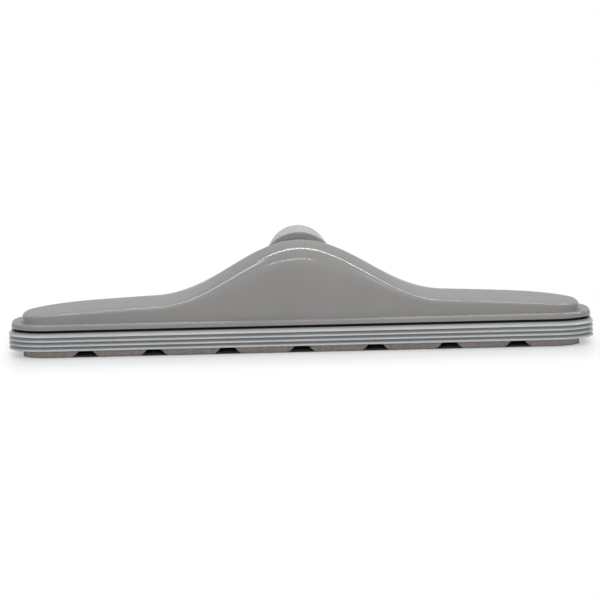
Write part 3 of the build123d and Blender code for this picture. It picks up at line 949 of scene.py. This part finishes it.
def seen_rays(tree):
    """One for rays from the camera, and for those that gloss or glass sends on."""
    path = tree.nodes.new("ShaderNodeLightPath")
    glossy = path.outputs["Is Glossy Ray"]
    sent_on = math_node(tree, "MAXIMUM", glossy, path.outputs["Is Transmission Ray"])
    return math_node(tree, "MAXIMUM", path.outputs["Is Camera Ray"], sent_on)


def diagonal(tree, x, y):
    """Length of the diagonal over two values."""
    squares = math_node(tree, "ADD", math_node(tree, "POWER", x, 2.0), math_node(tree, "POWER", y, 2.0))
    return math_node(tree, "SQRT", squares)


def floor_material():
    """Grey floor that keeps the shadow round the brush and turns white further out."""
    grey = (FLOOR_GREY, FLOOR_GREY, FLOOR_GREY)
    material, tree, shader = node_material("floor_pale", grey, roughness=0.9)
    shader.inputs["Specular IOR Level"].default_value = 0.0
    coords = tree.nodes.new("ShaderNodeTexCoord")
    parts = tree.nodes.new("ShaderNodeSeparateXYZ")
    tree.links.new(coords.outputs["Object"], parts.inputs["Vector"])
    from_mid = math_node(tree, "SUBTRACT", parts.outputs["Y"], head_mid.y)
    along = math_node(tree, "ABSOLUTE", parts.outputs["X"])
    across = math_node(tree, "ABSOLUTE", from_mid)
    out_x = math_node(tree, "SUBTRACT", along, BRUSH_HALF_LENGTH * MM)
    out_y = math_node(tree, "SUBTRACT", across, BRUSH_HALF_DEPTH * MM)
    far_x = math_node(tree, "MULTIPLY", math_node(tree, "MAXIMUM", out_x, 0.0), FLOOR_END_FADE)
    far_y = math_node(tree, "MAXIMUM", out_y, 0.0)
    away = diagonal(tree, far_x, far_y)
    rear = math_node(tree, "GREATER_THAN", from_mid, 0.0)
    more = math_node(tree, "MULTIPLY", rear, (BRUSH_REAR_R - BRUSH_FRONT_R) * MM)
    corner_r = math_node(tree, "ADD", more, BRUSH_FRONT_R * MM)
    run_x = math_node(tree, "MAXIMUM", math_node(tree, "ADD", out_x, corner_r), 0.0)
    run_y = math_node(tree, "MAXIMUM", math_node(tree, "ADD", out_y, corner_r), 0.0)
    past = math_node(tree, "SUBTRACT", diagonal(tree, run_x, run_y), corner_r)
    outside = math_node(tree, "GREATER_THAN", past, FLOOR_RIM)
    fade = tree.nodes.new("ShaderNodeMapRange")
    fade.interpolation_type = "SMOOTHSTEP"
    fade.inputs["From Max"].default_value = FLOOR_FADE
    fade.inputs["To Min"].default_value = FLOOR_WHITE
    tree.links.new(away, fade.inputs["Value"])
    share = math_node(tree, "MULTIPLY", outside, fade.outputs["Result"])
    seen = math_node(tree, "MULTIPLY", share, seen_rays(tree))
    white = tree.nodes.new("ShaderNodeEmission")
    mix = tree.nodes.new("ShaderNodeMixShader")
    tree.links.new(seen, mix.inputs["Fac"])
    tree.links.new(shader.outputs["BSDF"], mix.inputs[1])
    tree.links.new(white.outputs["Emission"], mix.inputs[2])
    tree.links.new(mix.outputs["Shader"], tree.nodes["Material Output"].inputs["Surface"])
    return material


def make_stage():
    """Floor, even surroundings and studio lamps: four that the gloss mirrors, and three soft fills."""
    bpy.ops.mesh.primitive_plane_add(size=FLOOR_SIZE, location=(0, 0, 0))
    floor = bpy.context.object
    floor.name = "floor"
    floor.data.materials.append(floor_material())

    world = bpy.data.worlds.new("studio")
    world.use_nodes = True
    back = world.node_tree.nodes["Background"]
    back.inputs["Color"].default_value = (1, 1, 1, 1)
    back.inputs["Strength"].default_value = WORLD_LEVEL
    bpy.context.scene.world = world

    area_light("overhead_strip", place=(0.55, 0.5, 1.0), size=(1.8, 0.05), power=6.5, aim_x=0.55)
    area_light("hump_strip", place=(-0.05, -0.35, 1.05), size=(0.3, 0.03), power=0.5, aim_x=-0.05)
    area_light("right_strip", place=(0.42, -0.16, 1.04), size=(0.06, 0.12), power=0.2, aim_x=0.42)
    area_light(
        "left_window", place=(-0.41, 0.21, 1.03), size=(0.18, 0.16), power=0.8, colour=DAYLIGHT, aim_x=-0.41
    )
    area_light("top_fill", place=(0.0, -0.6, 1.1), size=(1.6, 0.3), power=8.6, mirrored=False)
    area_light("front_fill", place=(0.0, -1.3, 0.2), size=(1.6, 0.4), power=4.2, mirrored=False)
    area_light("rear_fill", place=(0.0, 1.6, 0.9), size=(2.0, 0.3), power=18.0, mirrored=False)


make_camera()
make_stage()

scene = bpy.context.scene
scene.view_settings.view_transform = "Standard"
